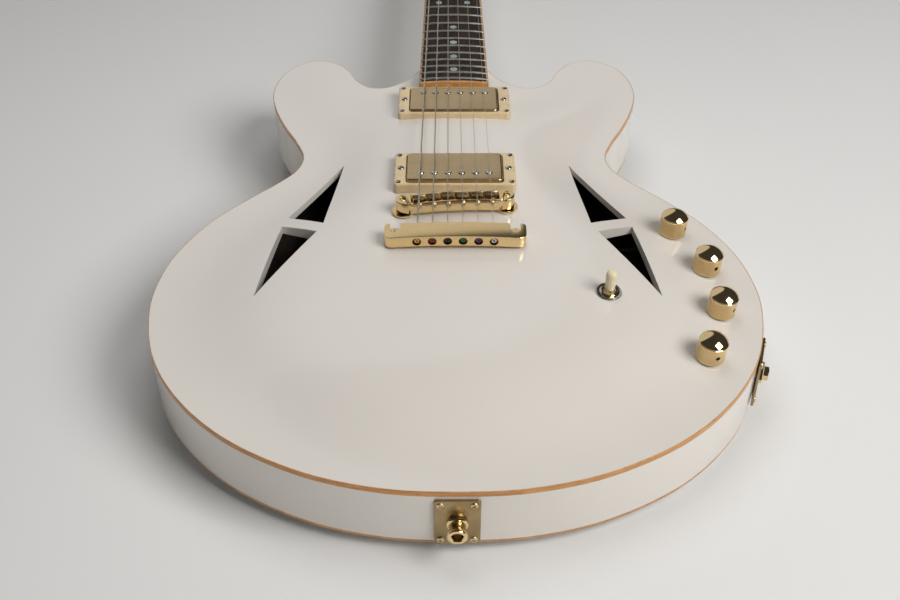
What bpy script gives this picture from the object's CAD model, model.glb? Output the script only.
# %% [markdown]
# # A semi-hollow electric guitar
# This file is a lesson in building a whole guitar with Blender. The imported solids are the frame: they say
# where every piece sits and what moves with what. Each piece that is seen is made again here with rounder
# forms and real finishes, and then takes its node's place.
# All sizes are in millimetres, as a maker would write them, and each piece is scaled to metres at the very
# end. X points to the treble side, Y along the strings to the head, and Z up from the back.

# %% Load the frame
import math

import bmesh
import bpy
import numpy as np
from mathutils import Matrix, Vector
from mathutils.geometry import interpolate_bezier


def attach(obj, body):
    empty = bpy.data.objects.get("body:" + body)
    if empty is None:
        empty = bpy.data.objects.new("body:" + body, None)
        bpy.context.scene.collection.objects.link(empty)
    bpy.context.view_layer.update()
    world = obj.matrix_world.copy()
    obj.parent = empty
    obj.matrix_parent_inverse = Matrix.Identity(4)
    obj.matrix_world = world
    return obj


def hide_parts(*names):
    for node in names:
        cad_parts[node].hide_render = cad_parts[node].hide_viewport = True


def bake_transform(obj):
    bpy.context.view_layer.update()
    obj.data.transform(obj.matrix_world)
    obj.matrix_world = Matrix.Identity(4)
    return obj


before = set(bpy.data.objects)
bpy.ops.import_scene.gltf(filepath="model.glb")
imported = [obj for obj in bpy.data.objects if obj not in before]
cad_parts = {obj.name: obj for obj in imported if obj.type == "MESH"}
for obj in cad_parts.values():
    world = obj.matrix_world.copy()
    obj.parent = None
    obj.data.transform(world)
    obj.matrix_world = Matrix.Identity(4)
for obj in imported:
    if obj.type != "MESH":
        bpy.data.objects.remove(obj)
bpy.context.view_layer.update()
MM = 0.001

# %% [markdown]
# ## Helpers
# A piece starts as a bmesh, an editable mesh in memory. It could be modelled in edit mode by hand, but a
# script gives the same mesh every time. `put` ends the work on a piece: it scales it to metres, gives it
# its finish, marks the edges that should stay crisp and hands it to the body that carries it. Where a piece
# blends between two bodies, `body` is None and the blend comes afterwards.


# %% Make a finished piece from a bmesh
def put(name, bm, finish, body="instrument", nodes=(), crisp=32, more=()):
    bmesh.ops.scale(bm, vec=(MM, MM, MM), verts=bm.verts)
    mesh = bpy.data.meshes.new(name)
    bm.to_mesh(mesh)
    bm.free()
    for polygon in mesh.polygons:
        polygon.use_smooth = True
    mesh.set_sharp_from_angle(angle=math.radians(crisp))
    for material in (finish, *more):
        mesh.materials.append(material)
    piece = bpy.data.objects.new(name, mesh)
    bpy.context.scene.collection.objects.link(piece)
    if body:
        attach(piece, body)
    if nodes:
        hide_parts(*nodes)
    print(name, len(mesh.polygons), "faces")
    return piece


# %% [markdown]
# A real part is often several simple bodies, such as a screw and its head. Objects could be joined, but a
# bmesh can also take in another one's mesh before any object exists. `placed` moves a whole bmesh by a
# matrix, `merge` moves one and adds it to another, and `tidy` welds doubled points and turns all faces
# outwards.


# %% Bring one bmesh into another, placed by a matrix
def placed(bm, matrix):
    bmesh.ops.transform(bm, matrix=matrix, verts=bm.verts)
    return bm


def merge(bm, other, place=Matrix()):
    placed(other, place)
    carrier = bpy.data.meshes.new("carrier")
    other.to_mesh(carrier)
    other.free()
    bm.from_mesh(carrier)
    bpy.data.meshes.remove(carrier)
    return bm


def tidy(bm, apart=1e-3):
    bmesh.ops.remove_doubles(bm, verts=bm.verts, dist=apart)
    bmesh.ops.recalc_face_normals(bm, faces=bm.faces)
    return bm


def turn(axis, degrees):
    return Matrix.Rotation(math.radians(degrees), 4, axis)


def move(x, y, z):
    return Matrix.Translation((x, y, z))


# %% [markdown]
# Most of the metal parts come from a lathe, so they are drawn as half a profile of (radius, height) pairs
# and spun round the Z axis. A full spin welds its last step to its first with `use_merge`. `rod` and `tube`
# are the two profiles that come up most often.


# %% Turn a profile of (radius, height) pairs on the Z axis
def turned(profile, steps=48):
    bm = bmesh.new()
    verts = [bm.verts.new((radius, 0, height)) for radius, height in profile]
    edges = [bm.edges.new(pair) for pair in zip(verts, verts[1:])]
    bmesh.ops.spin(bm, geom=verts + edges, cent=(0, 0, 0), axis=(0, 0, 1), angle=math.tau, steps=steps,
                   use_merge=True)
    return tidy(bm)


def rod(radius, low, high, steps=32):
    return turned([(0, low), (radius, low), (radius, high), (0, high)], steps)


def tube(inner, outer, low, high, steps=32):
    return turned([(inner, low), (outer, low), (outer, high), (inner, high), (inner, low)], steps)


# %% [markdown]
# Gears, thumbwheels and knurled knobs all have teeth round a turned rim. A boolean could cut each tooth,
# but it is quicker to spin the rim with many steps and to press every second column of points inwards. With
# a row number for each point as well, the pattern becomes the chess board of a diamond knurl.


# %% Press in every second column of a turned rim
def pressed_in(verts, around, share, row=lambda vert: 0):
    chosen = []
    for vert in verts:
        column = round(math.atan2(vert.co.y, vert.co.x) / (math.tau / around))
        if (row(vert) + column) % 2:
            vert.co.x *= share
            vert.co.y *= share
            chosen.append(vert)
    return chosen


def beyond(bm, radius):
    return [vert for vert in bm.verts if vert.co.xy.length > radius]


# %% [markdown]
# Plates, rings and covers are cut from flat stock. Their outline is one flat face, which an extrusion
# raises to its thickness, and a rectangle gets its round corners from a bevel of its vertices. `brick` is
# the plain block that cuts slots and wells.


# %% Flat outlines raised to a thickness
def raised(bm, low, high):
    for vert in bm.verts:
        vert.co.z = low
    out = bmesh.ops.extrude_face_region(bm, geom=list(bm.faces), use_keep_orig=True)
    top = [item for item in out["geom"] if isinstance(item, bmesh.types.BMVert)]
    bmesh.ops.translate(bm, verts=top, vec=(0, 0, high - low))
    return tidy(bm)


def flat(points):
    bm = bmesh.new()
    bm.faces.new([bm.verts.new((x, y, 0)) for x, y in points])
    bm.normal_update()
    return bm


def rounded(width, length, radius, segments=6):
    bm = bmesh.new()
    bmesh.ops.create_grid(bm, x_segments=1, y_segments=1, size=0.5)
    bmesh.ops.scale(bm, vec=(width, length, 1), verts=bm.verts)
    bmesh.ops.bevel(bm, geom=list(bm.verts), offset=radius, segments=segments, profile=0.5, affect="VERTICES",
                    material=-1)
    return bm


def brick(x, y, z):
    bm = bmesh.new()
    bmesh.ops.create_cube(bm, size=1)
    bmesh.ops.scale(bm, vec=(x[1] - x[0], y[1] - y[0], z[1] - z[0]), verts=bm.verts)
    bmesh.ops.translate(bm, vec=((x[0] + x[1]) / 2, (y[0] + y[1]) / 2, (z[0] + z[1]) / 2), verts=bm.verts)
    return bm


# %% [markdown]
# No edge of a real part is perfectly sharp, and its small bevel is what catches the light. The Bevel
# modifier would treat every edge alike, so the operator is used, on the edges that a test picks out.


# %% Soften the edges that a test picks out, or all the crisp ones
def soften(bm, width, segments=3, pick=lambda edge: True, angle=40):
    limit = math.radians(angle)
    edges = [edge for edge in bm.edges
             if edge.is_manifold and edge.calc_face_angle(0) > limit and pick(edge)]
    bmesh.ops.bevel(bm, geom=edges, offset=width, segments=segments, profile=0.5, affect="EDGES", material=-1,
                    clamp_overlap=True)
    return bm


CLOSE = 0.01


def at_height(height):
    return lambda edge: all(abs(vert.co.z - height) < CLOSE for vert in edge.verts)


# %% [markdown]
# Holes, slots and wells are cut with the exact boolean, which leaves clean walls where knife and body
# cross. It is a modifier, so the two meshes become objects for a moment, and the result is read back as a
# bmesh.


# %% Cut one solid with others
def carved(bm, *cutters):
    tool = bmesh.new()
    for cutter in cutters:
        merge(tool, cutter)
    objects = []
    for part in (bm, tool):
        mesh = bpy.data.meshes.new("cutting")
        part.to_mesh(mesh)
        part.free()
        objects.append(bpy.data.objects.new("cutting", mesh))
        bpy.context.scene.collection.objects.link(objects[-1])
    body, knife = objects
    cut = body.modifiers.new("cut", "BOOLEAN")
    cut.operation = "DIFFERENCE"
    cut.solver = "EXACT"
    cut.object = knife
    left = body.evaluated_get(bpy.context.evaluated_depsgraph_get())
    result = bmesh.new()
    result.from_mesh(left.to_mesh())
    left.to_mesh_clear()
    for item in objects:
        mesh = item.data
        bpy.data.objects.remove(item)
        bpy.data.meshes.remove(mesh)
    return result


# %% [markdown]
# ## Finishes
# A finish is a Principled shader whose colour, roughness and bump vary by noise in the object's own
# coordinates. Image textures would need unwrapping and would blur close up. Effects that several finishes
# share are node groups: `grain` draws long wood streaks, `smudge` gives the faint unevenness of handled
# gloss, and `brushing` the fine scratches of satin metal. First come the tools that make a node, fill in
# its values and start a group.


# %% Node group helpers
def fill(node, values):
    for label, value in values.items():
        node.inputs[label.replace("_", " ")].default_value = value
    return node


def add(tree, kind, **values):
    return fill(tree.nodes.new("ShaderNode" + kind), values)


def start_group(name, inputs, outputs):
    group = bpy.data.node_groups.new(name, "ShaderNodeTree")
    for label, value in inputs:
        socket = group.interface.new_socket(label, in_out="INPUT", socket_type="NodeSocketFloat")
        socket.default_value = value
    for label in outputs:
        group.interface.new_socket(label, in_out="OUTPUT", socket_type="NodeSocketFloat")
    return group, group.nodes.new("NodeGroupInput"), group.nodes.new("NodeGroupOutput")


def scaled_place(group, entry):
    place = add(group, "TexCoord")
    join = add(group, "CombineXYZ")
    for index, axis in enumerate("XYZ"):
        group.links.new(entry.outputs["Across " + axis], join.inputs[index])
    spread = add(group, "VectorMath")
    spread.operation = "MULTIPLY"
    group.links.new(place.outputs["Object"], spread.inputs[0])
    group.links.new(join.outputs[0], spread.inputs[1])
    return spread.outputs[0]


# %% [markdown]
# Wood shows long streaks, and between them short dark pores. Both are noises, stretched along the fibres:
# the three Across values say how often the pattern repeats in a metre along each axis, so the small one
# lies along the fibres.


# %% Wood grain: long streaks and short pores
def grain_group():
    inputs = [("Across X", 300), ("Across Y", 10), ("Across Z", 300), ("Pores", 3)]
    group, entry, leave = start_group("grain", inputs, ["Streak", "Pore"])
    place = scaled_place(group, entry)
    streak = add(group, "TexNoise", Scale=1, Detail=6, Roughness=0.6, Distortion=0.4)
    group.links.new(place, streak.inputs["Vector"])
    pore = add(group, "TexNoise", Detail=2)
    group.links.new(place, pore.inputs["Vector"])
    group.links.new(entry.outputs["Pores"], pore.inputs["Scale"])
    crisp = add(group, "MapRange", From_Min=0.58, From_Max=0.7)
    group.links.new(pore.outputs["Fac"], crisp.inputs["Value"])
    group.links.new(streak.outputs["Fac"], leave.inputs["Streak"])
    group.links.new(crisp.outputs["Result"], leave.inputs["Pore"])
    return group


# %% [markdown]
# Gloss lacquer and plating are never quite even. Polishing and handling leave slow clouds, and dust under
# the finish a fine tooth. One noise for each is enough, and the finishes use them for colour, roughness and
# bump.


# %% Smudge: slow clouds and a fine tooth
def smudge_group():
    group, entry, leave = start_group("smudge", [("Cloud", 25), ("Tooth", 1500)], ["Cloud", "Tooth"])
    place = add(group, "TexCoord")
    for name in ("Cloud", "Tooth"):
        noise = add(group, "TexNoise", Detail=4)
        group.links.new(place.outputs["Object"], noise.inputs["Vector"])
        group.links.new(entry.outputs[name], noise.inputs["Scale"])
        group.links.new(noise.outputs["Fac"], leave.inputs[name])
    return group


# %% [markdown]
# Satin metal has fine scratches that all run one way. An anisotropic shader would only stretch the
# highlight and needs tangents, so a noise that is stretched along one axis shows the scratches themselves.


# %% Brushing: scratches that run along one axis
def brushing_group():
    inputs = [("Across X", 20), ("Across Y", 4000), ("Across Z", 4000)]
    group, entry, leave = start_group("brushing", inputs, ["Scratch"])
    place = scaled_place(group, entry)
    noise = add(group, "TexNoise", Scale=1, Detail=3)
    group.links.new(place, noise.inputs["Vector"])
    group.links.new(noise.outputs["Fac"], leave.inputs["Scratch"])
    return group


GRAIN, SMUDGE, BRUSHING = grain_group(), smudge_group(), brushing_group()
print("node groups", ", ".join(group.name for group in (GRAIN, SMUDGE, BRUSHING)))

# %% [markdown]
# Every finish takes the same few steps: a shader with its fixed values, a group, a colour between two
# shades, a roughness between two values, and a bump. A small class keeps them together, so that a finish
# reads like a recipe. A value that is the same all over is set on the shader's own socket.


# %% Small tools for building a material
class Finish:
    def __init__(self, name, **sockets):
        self.material = bpy.data.materials.new(name)
        self.material.use_nodes = True
        self.tree = self.material.node_tree
        self.shader = fill(self.tree.nodes["Principled BSDF"], sockets)

    def wire(self, output, label):
        self.tree.links.new(output, self.shader.inputs[label])

    def group(self, tree, **values):
        node = self.tree.nodes.new("ShaderNodeGroup")
        node.node_tree = tree
        return fill(node, values)

    def blend(self, mask, dark, light, low=0.3, high=0.7):
        ramp = add(self.tree, "ValToRGB")
        for end, place, colour in zip(ramp.color_ramp.elements, (low, high), (dark, light)):
            end.position = place
            end.color = (*colour, 1)
        self.tree.links.new(mask, ramp.inputs["Fac"])
        return ramp.outputs["Color"]

    def mix(self, mask, base, over):
        node = add(self.tree, "Mix")
        node.data_type = "RGBA"
        self.tree.links.new(mask, node.inputs[0])
        self.tree.links.new(base, node.inputs[6])
        node.inputs[7].default_value = (*over, 1)
        return node.outputs[2]

    def spread(self, mask, low, high):
        node = add(self.tree, "MapRange", From_Min=0.3, From_Max=0.7, To_Min=low, To_Max=high)
        self.tree.links.new(mask, node.inputs["Value"])
        return node.outputs["Result"]

    def bump(self, height, strength, depth):
        node = add(self.tree, "Bump", Strength=strength, Distance=depth)
        self.tree.links.new(height, node.inputs["Height"])
        self.wire(node.outputs["Normal"], "Normal")

    def clouded(self, cloud, tooth, shade, colour, rough, label="Roughness"):
        smudge = self.group(SMUDGE, Cloud=cloud, Tooth=tooth)
        self.wire(self.blend(smudge.outputs["Cloud"], shade, colour), "Base Color")
        self.wire(self.spread(smudge.outputs["Cloud"], *rough), label)
        return smudge.outputs["Tooth"]


# %% [markdown]
# The body and neck are in white lacquer that has aged a little to cream. One glossy layer would look like
# plastic. A clear coat over a rougher base has the depth of real lacquer, and a slight change in the coat's
# roughness keeps the reflections from being perfect.


# %% White gloss lacquer
def white_lacquer():
    finish = Finish("white lacquer", Roughness=0.35, Coat_Weight=1.0, Coat_IOR=1.5)
    shades = (0.735, 0.685, 0.62), (0.765, 0.715, 0.65)
    tooth = finish.clouded(9, 120, *shades, (0.035, 0.055), "Coat Roughness")
    finish.bump(tooth, 0.04, 0.0003)
    return finish.material


# %% [markdown]
# The fittings are plated with gold: knobs and posts are polished, the pickup covers and the tailpiece are
# satin, and the plates on the rim have aged. A metal's colour is the tint of its reflections. The polished
# ones vary slowly in tint and roughness, and the satin ones take their roughness from the brushing.


# %% Plated metals: polished, satin and aged
def polished(name, colour, shade, rough=(0.1, 0.2)):
    finish = Finish(name, Metallic=1.0)
    finish.bump(finish.clouded(140, 2500, shade, colour, rough), 0.05, 0.00005)
    return finish.material


def spacing(across):
    return dict(zip(("Across_X", "Across_Y", "Across_Z"), across))


def satin(name, colour, shade, rough, across):
    finish = Finish(name, Metallic=1.0)
    smudge = finish.group(SMUDGE, Cloud=60, Tooth=2500)
    lines = finish.group(BRUSHING, **spacing(across))
    finish.wire(finish.blend(smudge.outputs["Cloud"], shade, colour), "Base Color")
    finish.wire(finish.spread(lines.outputs["Scratch"], *rough), "Roughness")
    finish.bump(lines.outputs["Scratch"], 0.25, 0.00004)
    return finish.material


# %% [markdown]
# The bindings, the fingerboard, the block and the bare inside are woods. They differ in colour, in the size
# of the streaks and in the direction of the fibres, and one function makes them all. The pores are mixed in
# over the streaks, and the streaks also drive roughness and bump.


# %% Woods
def wood(name, dark, light, pores, across, rough, coat=0.0, shine=0.5):
    finish = Finish(name, Roughness=rough, Coat_Weight=coat, Coat_Roughness=0.08, Specular_IOR_Level=shine)
    grain = finish.group(GRAIN, **spacing(across), Pores=3)
    base = finish.blend(grain.outputs["Streak"], dark, light, 0.35, 0.65)
    finish.wire(finish.mix(grain.outputs["Pore"], base, pores), "Base Color")
    finish.wire(finish.spread(grain.outputs["Streak"], rough - 0.08, rough + 0.08), "Roughness")
    finish.bump(grain.outputs["Streak"], 0.4, 0.00008)
    return finish.material


# %% [markdown]
# The pickup rings, the switch tip, the nut and the dots are hard, smooth and slightly cloudy. Light that
# sinks into them could be traced, but it is slow and hardly shows at this size, so a thin coat over a
# clouded colour stands for it.


# %% Moulded plastic, bone and pearl
def moulded(name, colour, shade, rough=(0.22, 0.34), cloud=90):
    finish = Finish(name, Coat_Weight=0.3, Coat_Roughness=0.12)
    finish.bump(finish.clouded(cloud, 1800, shade, colour, rough), 0.12, 0.00006)
    return finish.material


# %% [markdown]
# The three bass strings are wound with fine wire and the other three are plain steel. The winding is too
# fine to model, so bands of a wave texture across the string bump its surface.


# %% Wound and plain strings
def string_metal(name, colour, shade, winding):
    finish = Finish(name, Metallic=1.0)
    tooth = finish.clouded(200, 3000, shade, colour, (0.36, 0.5))
    if winding:
        place = add(finish.tree, "TexCoord")
        wave = add(finish.tree, "TexWave", Scale=winding)
        wave.bands_direction = "Y"
        finish.tree.links.new(place.outputs["Object"], wave.inputs["Vector"])
        finish.bump(wave.outputs["Fac"], 0.2, 0.00001)
    else:
        finish.bump(tooth, 0.1, 0.00002)
    return finish.material


# %% [markdown]
# All the guitar's finishes stand in one list, so that they can be compared. Each has two shades, and its
# noise moves between them. They were set by comparing the render with the photograph at the same places. A
# nearly black wood inside the body makes the sound holes dark.

# %% All the finishes
LACQUER = white_lacquer()
INSIDE = wood("bare inside", (0.02, 0.012, 0.007), (0.036, 0.022, 0.013), (0.016, 0.01, 0.006),
              (60, 8, 60), 0.8)
GOLD = polished("polished gold", (0.88, 0.68, 0.38), (0.83, 0.62, 0.32), (0.05, 0.1))
GRIP_GOLD = polished("grip gold", (0.93, 0.72, 0.41), (0.88, 0.66, 0.35), (0.28, 0.36))
SADDLE_GOLD = polished("dull gold", (0.78, 0.64, 0.42), (0.68, 0.54, 0.34), (0.24, 0.34))
LENGTHWISE = (60, 9000, 9000)
SATIN_GOLD = satin("satin gold", (0.64, 0.48, 0.28), (0.58, 0.43, 0.24), (0.26, 0.33), LENGTHWISE)
BAR_GOLD = satin("bar gold", (0.94, 0.71, 0.38), (0.88, 0.65, 0.33), (0.18, 0.24), LENGTHWISE)
BRASS = satin("aged brass", (0.46, 0.34, 0.18), (0.32, 0.23, 0.11), (0.26, 0.46), (700, 700, 60))
SCREW_GOLD = polished("screw gold", (0.8, 0.66, 0.43), (0.68, 0.54, 0.33), (0.24, 0.34))
NICKEL = polished("nickel", (0.68, 0.65, 0.6), (0.56, 0.53, 0.48))
STEEL = polished("steel", (0.7, 0.68, 0.63), (0.6, 0.58, 0.53), (0.3, 0.42))
BINDING = wood("binding wood", (0.47, 0.2, 0.05), (0.66, 0.33, 0.1), (0.4, 0.16, 0.04),
               (90, 90, 700), 0.4, 0.4)
PALE_EDGE = wood("board binding", (0.36, 0.21, 0.09), (0.5, 0.32, 0.16), (0.3, 0.17, 0.07),
                 (500, 12, 500), 0.42)
ROSEWOOD = wood("rosewood", (0.012, 0.008, 0.006), (0.05, 0.03, 0.02), (0.004, 0.003, 0.002),
                (420, 9, 420), 0.6, shine=0.15)
SPRUCE = wood("spruce", (0.5, 0.34, 0.16), (0.72, 0.54, 0.3), (0.42, 0.27, 0.12), (300, 6, 300), 0.6)
CREAM = moulded("cream plastic", (0.74, 0.575, 0.335), (0.68, 0.51, 0.285))
TIP = moulded("lever tip", (0.85, 0.75, 0.52), (0.78, 0.67, 0.44))
BONE = moulded("bone", (0.8, 0.74, 0.58), (0.7, 0.63, 0.46), (0.3, 0.45), 300)
PEARL = moulded("pearl", (0.36, 0.43, 0.4), (0.17, 0.22, 0.21), (0.1, 0.22), 260)
BLACK = moulded("black plastic", (0.018, 0.017, 0.016), (0.01, 0.01, 0.01), (0.25, 0.4))
DARK = moulded("dark recess", (0.01, 0.009, 0.008), (0.005, 0.005, 0.004), (0.6, 0.8))
WOUND = string_metal("wound string", (0.78, 0.72, 0.62), (0.66, 0.6, 0.5), 900)
PLAIN = string_metal("plain string", (0.8, 0.77, 0.7), (0.7, 0.67, 0.6), 0)
BALL_FINISHES = [
    polished("ball brass", (0.72, 0.5, 0.22), (0.6, 0.4, 0.16)),
    moulded("ball red", (0.34, 0.02, 0.02), (0.24, 0.015, 0.015)),
    moulded("ball black", (0.012, 0.012, 0.012), (0.008, 0.008, 0.008)),
    moulded("ball green", (0.02, 0.17, 0.085), (0.015, 0.11, 0.055)),
    moulded("ball purple", (0.12, 0.045, 0.2), (0.08, 0.03, 0.14)),
    polished("ball silver", (0.7, 0.7, 0.7), (0.6, 0.6, 0.6)),
]
print("finishes", len(bpy.data.materials))

# %% [markdown]
# ## The body
# The body is a thin box with an arched top and back and a rim between them. Its outline is one smooth curve
# through a few points of half the body, as shares of the half width and of the length. The same points are
# in the part's source, so the two agree to a hair. The bindings are drawn as narrow as they look in the
# photograph.

# %% Sizes of the body
HALF_WIDTH, LENGTH, TAIL = 205, 478, 250.6
RIM_LOW, RIM_HIGH = 12, 56.5
LIP, BINDING_TALL, BACK_BINDING_TALL, BINDING_WIDE, RIM_WIDE = 0.8, 3.2, 1.6, 0.6, 6
HALF_OUTLINE = [
    (0, 0), (0.205, 0.005), (0.439, 0.031), (0.688, 0.09), (0.859, 0.165), (0.955, 0.241), (0.997, 0.326),
    (0.996, 0.377), (0.959, 0.449), (0.867, 0.525), (0.746, 0.586), (0.648, 0.628), (0.586, 0.663),
    (0.569, 0.698), (0.601, 0.739), (0.656, 0.786), (0.701, 0.8345), (0.727, 0.885), (0.712, 0.9375),
    (0.661, 0.978), (0.571, 1), (0.488, 0.99), (0.434, 0.9645), (0.395, 0.931), (0.3415, 0.91),
    (0.278, 0.909), (0.2146, 0.924), (0.167, 0.947), (0.146, 0.9645),
]

# %% [markdown]
# A curve through unevenly spaced points swings out where they are close together if all its handles are
# alike. Handles that follow the square root of the spacing keep it calm, and `interpolate_bezier` gives the
# points between them.


# %% A smooth curve through points, with handles that suit uneven spacing
def smooth_curve(points, steps):
    points = [Vector(point) for point in points]
    before = points[0] * 2 - points[1]
    after = points[-1] * 2 - points[-2]
    chain = [before, *points, after]
    curve = []
    for a, b, c, d in zip(chain, chain[1:], chain[2:], chain[3:]):
        first, middle, last = [math.sqrt((q - p).length) for p, q in ((a, b), (b, c), (c, d))]
        leave = ((b - a) / first - (c - a) / (first + middle) + (c - b) / middle) * middle
        arrive = ((c - b) / middle - (d - b) / (middle + last) + (d - c) / last) * middle
        curve += interpolate_bezier(b, b + leave / 3, c - arrive / 3, c, steps + 1)[:-1]
    return curve + [points[-1]]


half = [(x * HALF_WIDTH, y * LENGTH - TAIL, 0) for x, y in HALF_OUTLINE]
OUTLINE = [(p.x, p.y) for p in smooth_curve([(-x, y, 0) for x, y, z in half[:0:-1]] + half, 7)]
print("outline points", len(OUTLINE))

# %% [markdown]
# The top and back swell from the rim in a soft arch. It could be sculpted, but then the pieces that stand
# on it would have no height to ask for. Here a formula gives it: how far a place is from the edge decides
# its height, and that distance is a mean over the whole outline, so that the arch has no crease down the
# middle.

# %% Heights of the arched top and back
ARCH_REACH, TOP_RISE, BACK_FALL = 58, 13.4, 14
EDGE_THICK, TOP_SWELL = 4, 6


def edge_distance(x, y):
    x, y = np.atleast_1d(x).astype(float), np.atleast_1d(y).astype(float)
    total = np.zeros_like(x)
    for (ax, ay), (bx, by) in zip(OUTLINE, OUTLINE[1:] + OUTLINE[:1]):
        length = math.hypot(bx - ax, by - ay)
        ux, uy = (bx - ax) / length, (by - ay) / length
        start = (ax - x) * ux + (ay - y) * uy
        end = start + length
        off = np.maximum(np.abs((ax - x) * uy - (ay - y) * ux), 0.01)
        total += (end / np.hypot(end, off) - start / np.hypot(start, off)) / off**2
    return np.sqrt(2 / total)


def rise(x, y):
    return 1 - np.exp(-((edge_distance(x, y) / ARCH_REACH) ** 3))


def top_height(x, y):
    return RIM_HIGH + LIP + TOP_RISE * rise(x, y)


def top_under(x, y):
    return top_height(x, y) - EDGE_THICK - TOP_SWELL * rise(x, y)


def back_height(x, y):
    return np.maximum(0, RIM_LOW - LIP - BACK_FALL * rise(x, y))


def back_under(x, y):
    return back_height(x, y) + EDGE_THICK + rise(x, y)


def top_at(x, y):
    return float(top_height(x, y)[0])


print("the top's middle stands", round(top_at(0, 0) - RIM_HIGH, 2), "mm above the rim")

# %% [markdown]
# The top is one sheet. A square grid would leave a ragged edge, so the outline is extruded inwards again
# and again, each time scaled a little smaller. That leaves rings of quads that follow the rim, closest
# together near it, where the arch bends most, and the last ring closes to a point.

# %% Rings of quads drawn in from the outline to the heart of the body
RING_SHARES = [0.998, 0.99, 0.98, 0.965, 0.948, 0.93, 0.91, 0.888, 0.864, 0.838, 0.81, 0.78, 0.748,
               0.714, 0.678, 0.64, 0.6, 0.558, 0.514, 0.468, 0.42, 0.37, 0.318, 0.264, 0.208, 0.15, 0.09]


def body_web():
    bm = bmesh.new()
    verts = [bm.verts.new((x * RING_SHARES[0], y * RING_SHARES[0], 0)) for x, y in OUTLINE]
    loop = [bm.edges.new((a, b)) for a, b in zip(verts, verts[1:] + verts[:1])]
    for outer, inner in zip(RING_SHARES, RING_SHARES[1:]):
        out = bmesh.ops.extrude_edge_only(bm, edges=loop)["geom"]
        fresh = [item for item in out if isinstance(item, bmesh.types.BMVert)]
        loop = [item for item in out if isinstance(item, bmesh.types.BMEdge)]
        bmesh.ops.scale(bm, vec=(inner / outer,) * 3, verts=fresh)
    middle = bmesh.ops.extrude_edge_only(bm, edges=loop)["geom"]
    centre = [item for item in middle if isinstance(item, bmesh.types.BMVert)]
    bmesh.ops.pointmerge(bm, verts=centre, merge_co=(0, 0, 0))
    return tidy(bm)


# %% [markdown]
# Four triangular sound holes go through the top, two on each side of the bridge. A boolean needs a closed
# solid, so each hole is cut in the flat web with `bisect_plane` along its three straight sides, on the
# nearby faces only, and the faces inside are deleted. In the photograph the holes sit a little to the
# treble side.

# %% Cut the sound holes in the flat web, along their straight sides
SOUND_HOLES = [
    [(0.417, 0.6676), (0.595, 0.5268), (0.4634, 0.4979)],
    [(0.6098, 0.5033), (0.6634, 0.336), (0.4829, 0.4772)],
]
HOLE_SHIFT, AROUND_HOLE = 1.5, 14


def cut_hole(bm, corners):
    xs, ys = [x for x, y in corners], [y for x, y in corners]
    middle = Vector((sum(xs) / 3, sum(ys) / 3, 0))

    def near():
        faces = [face for face in bm.faces
                 if min(xs) - AROUND_HOLE < face.calc_center_median().x < max(xs) + AROUND_HOLE
                 and min(ys) - AROUND_HOLE < face.calc_center_median().y < max(ys) + AROUND_HOLE]
        return list({item for face in faces for item in (face, *face.edges, *face.verts)})

    sides = []
    for (ax, ay), (bx, by) in zip(corners, corners[1:] + corners[:1]):
        start = Vector((ax, ay, 0))
        across = Vector((by - ay, ax - bx, 0)).normalized()
        if across.dot(middle - start) > 0:
            across.negate()
        bmesh.ops.bisect_plane(bm, geom=near(), dist=0.02, plane_co=start, plane_no=across)
        sides.append((start, across))
    inside = [face for face in bm.faces
              if all(across.dot(face.calc_center_median() - start) < 0 for start, across in sides)]
    bmesh.ops.delete(bm, geom=inside, context="FACES")


# %% [markdown]
# The flat web becomes a plate. Solidify would give it one thickness, but a carved top is thicker in the
# middle. So an extrusion doubles the web, one copy goes to the height of the outer face and the other to
# that of the inner face. The faces that look into the box get the bare wood as their second material.

# %% Give the web its arch above and below
PLACES = {share: {(round(x * share, 2), round(y * share, 2)) for x, y in OUTLINE}
          for share in (1, RING_SHARES[0])}


def on_outline(vert, share=1):
    return (round(vert.co.x, 2), round(vert.co.y, 2)) in PLACES[share]


def arched_plate(bm, above, below, edge_level):
    upper = list(bm.verts)
    out = bmesh.ops.extrude_face_region(bm, geom=list(bm.faces), use_keep_orig=True)["geom"]
    lower = [item for item in out if isinstance(item, bmesh.types.BMVert)]
    for verts, surface in ((upper, above), (lower, below)):
        heights = surface([v.co.x for v in verts], [v.co.y for v in verts])
        for vert, height in zip(verts, heights):
            vert.co.z = height
    for vert in lower:
        if on_outline(vert, RING_SHARES[0]):
            vert.co.z = edge_level
    bmesh.ops.recalc_face_normals(bm, faces=bm.faces)
    return bm


def mark(bm, index, picks):
    for face in bm.faces:
        if picks(face):
            face.material_index = index


# %% Make the top and the back
web = body_web()
for triangle in SOUND_HOLES:
    for side in (1, -1):
        cut_hole(web, [(side * x * HALF_WIDTH + HOLE_SHIFT, y * LENGTH - TAIL) for x, y in triangle])
top = arched_plate(web, top_height, top_under, RIM_HIGH)
mark(top, 1, lambda face: face.normal.z < -0.5)
put("finished_top", top, LACQUER, nodes=["top_plate"], crisp=40, more=[INSIDE])
back = arched_plate(body_web(), back_under, back_height, RIM_LOW)
mark(back, 1, lambda face: face.normal.z > 0.5)
put("finished_back", back, LACQUER, nodes=["back_plate"], crisp=40, more=[INSIDE])

# %% [markdown]
# The rim is a hoop, and the two bindings are thinner hoops let in at its corners. Scaling the outline would
# make them wider at the ends than at the waist. So each hoop starts as the flat outline, which
# `inset_region` narrows evenly. The middle goes, and what is left is raised.


# %% Hoops along the outline
def hoop(wide, low, high):
    bm = flat(OUTLINE)
    face = bm.faces[:][0]
    bmesh.ops.inset_region(bm, faces=[face], thickness=wide, use_even_offset=True, use_boundary=True)
    bmesh.ops.delete(bm, geom=[face], context="FACES")
    return raised(bm, low, high)


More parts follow.
